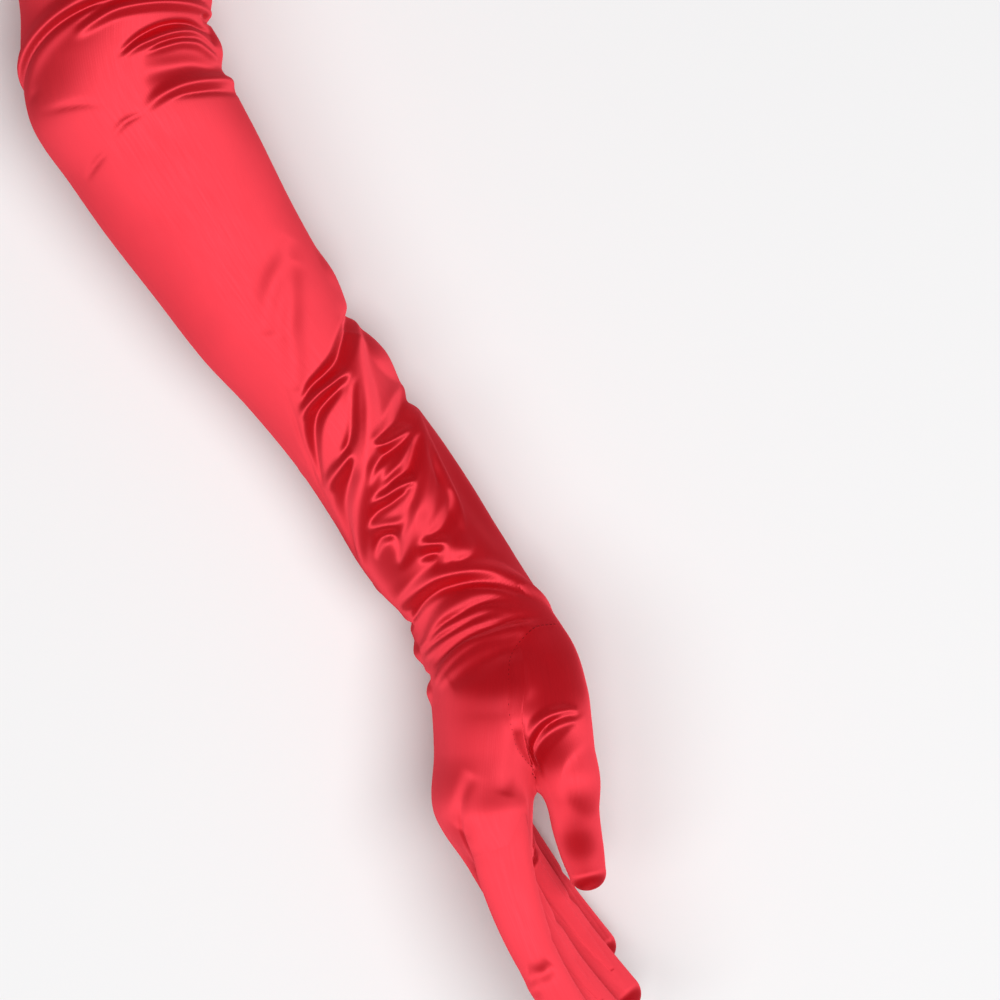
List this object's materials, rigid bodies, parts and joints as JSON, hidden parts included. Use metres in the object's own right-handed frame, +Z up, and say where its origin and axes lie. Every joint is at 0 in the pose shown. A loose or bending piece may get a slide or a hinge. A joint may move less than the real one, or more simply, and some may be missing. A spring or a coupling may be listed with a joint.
{
  "type": "long satin evening glove",
  "caption": "Opera-length stretch satin glove for the right arm, bent at the elbow, with set-in thumb and forked finger strips.",
  "frame": {"origin": "centre of the arm opening, where the upper arm goes in", "axes": "+X along the forearm towards the fingers, +Y towards the inside of the elbow and the palm, +Z up on the thumb side"},
  "size_m": [0.5415, 0.1638, 0.0847],
  "materials": {
    "satin": "glossy stretch satin",
    "satin_hem": "the same satin, turned double and stitched",
    "satin_fork": "the same satin cut in narrow strips"
  },
  "bodies": {
    "root": {"hem": "satin_hem", "upper_sleeve": "satin", "forearm_sleeve": "satin", "hand": "satin", "thumb": "satin", "index_finger": "satin", "middle_finger": "satin", "ring_finger": "satin", "little_finger": "satin", "fourchette_index_middle": "satin_fork", "fourchette_middle_ring": "satin_fork", "fourchette_ring_little": "satin_fork"}
  },
  "joints": []
}
